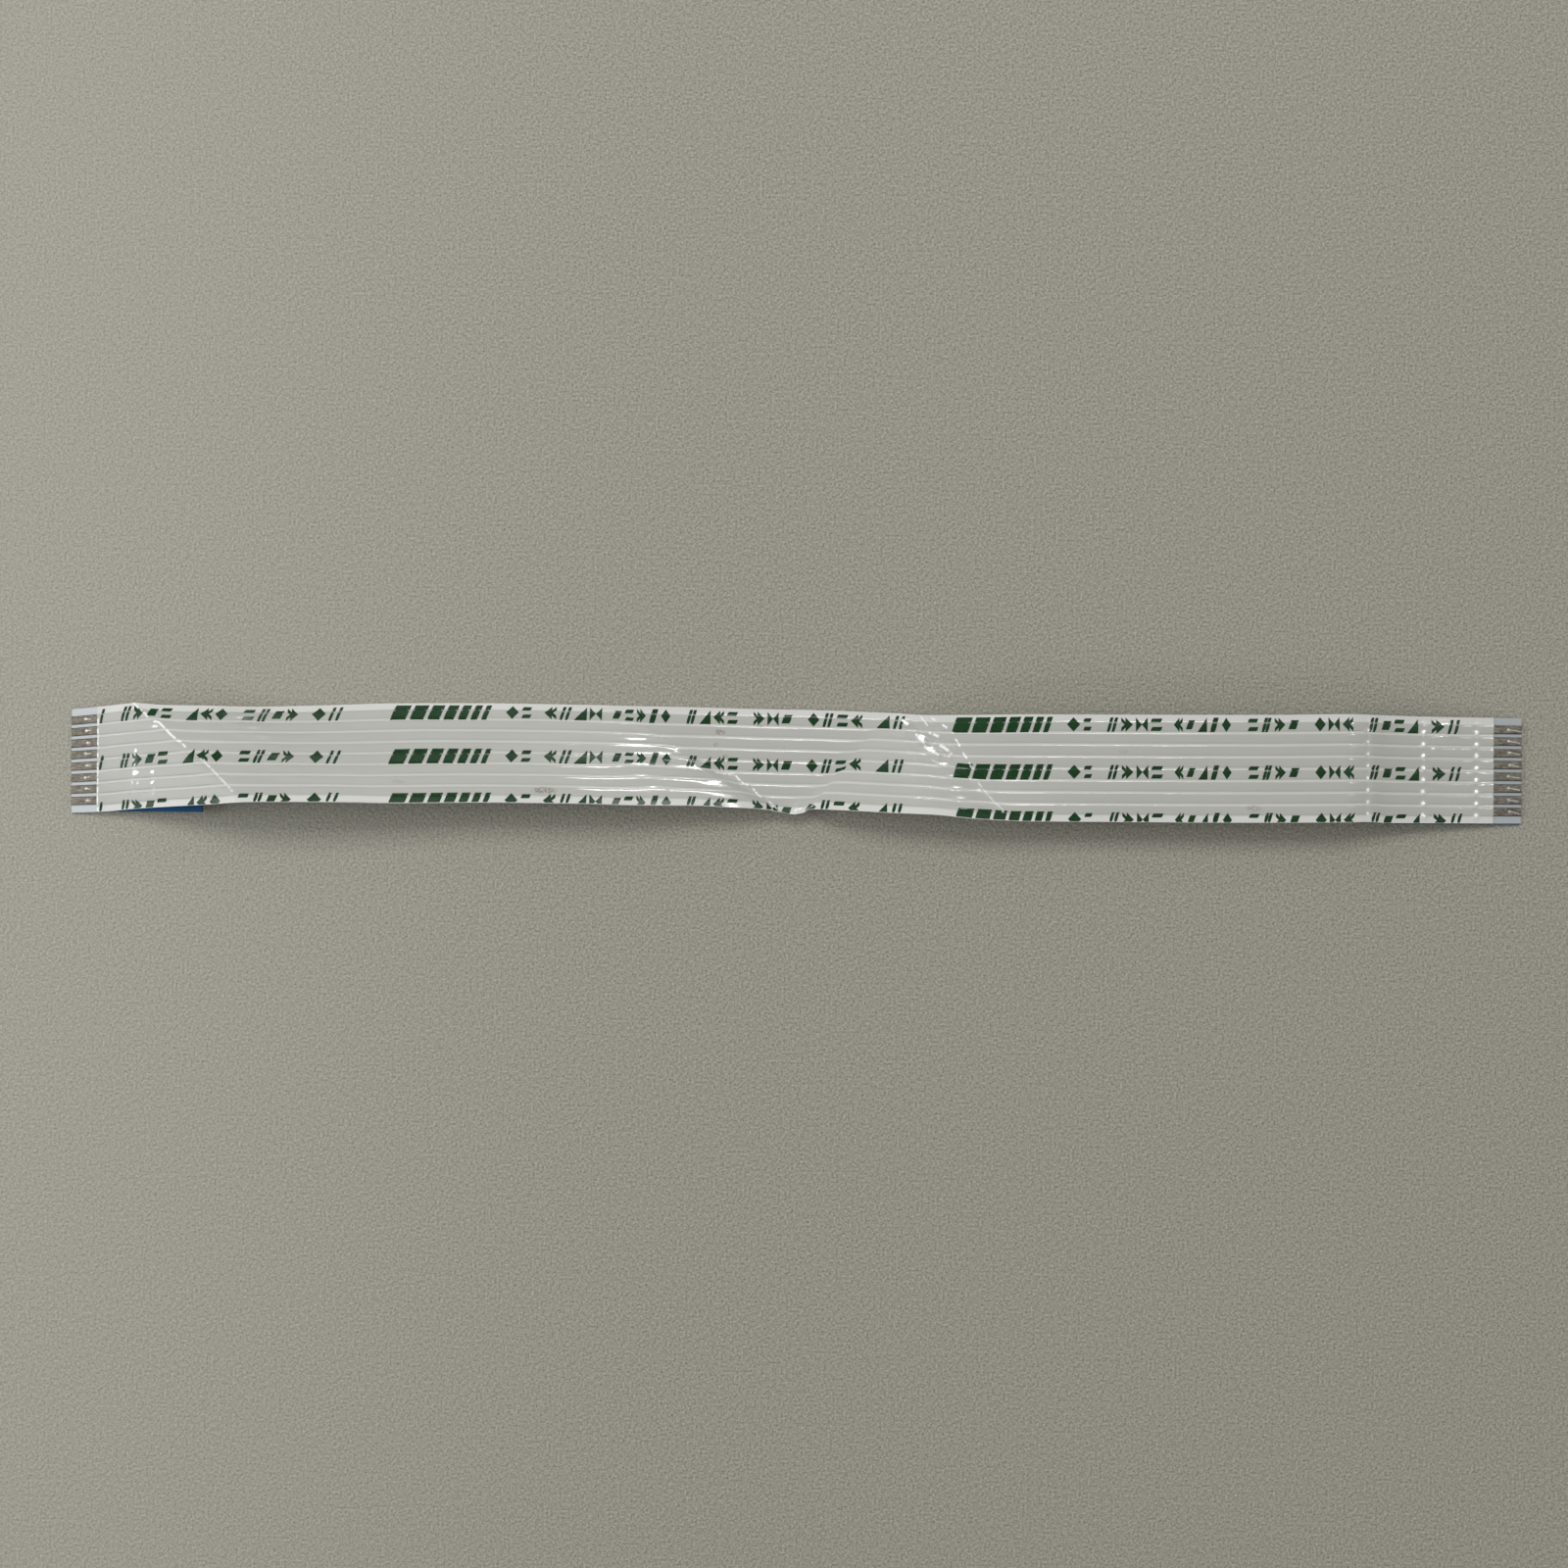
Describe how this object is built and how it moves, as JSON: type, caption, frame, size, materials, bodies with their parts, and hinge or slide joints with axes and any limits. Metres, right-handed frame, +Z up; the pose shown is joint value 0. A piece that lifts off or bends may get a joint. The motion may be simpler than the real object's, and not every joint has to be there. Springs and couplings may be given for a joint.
{
  "type": "flat flex cable",
  "caption": "Flat flex cable: flat conductors between two films, bare contacts on the same side at both ends, a stiffener under each; lies bowed and tilted, with slanting folds.",
  "frame": {"origin": "under the middle of the cable's outline, on the table it lies on", "axes": "+X along the cable, from the end whose stiffener has come loose to the other end; +Y across the cable, in its plane; +Z up, away from the table, the side that the bare contacts face"},
  "size_m": [0.1244, 0.0098, 0.0045],
  "materials": {
    "film_top": "glossy white film, slightly see-through",
    "film_bottom": "glossy pale film",
    "conductor": "tinned, dulled, fine scratches",
    "stiffener": "smooth blue plate"
  },
  "bodies": {
    "root": {"top_film": "film_top", "bottom_film": "film_bottom", "conductor_1": "conductor", "conductor_2": "conductor", "conductor_3": "conductor", "conductor_4": "conductor", "conductor_5": "conductor", "conductor_6": "conductor", "conductor_7": "conductor", "conductor_8": "conductor", "left_stiffener": "stiffener", "right_stiffener": "stiffener"}
  },
  "joints": []
}
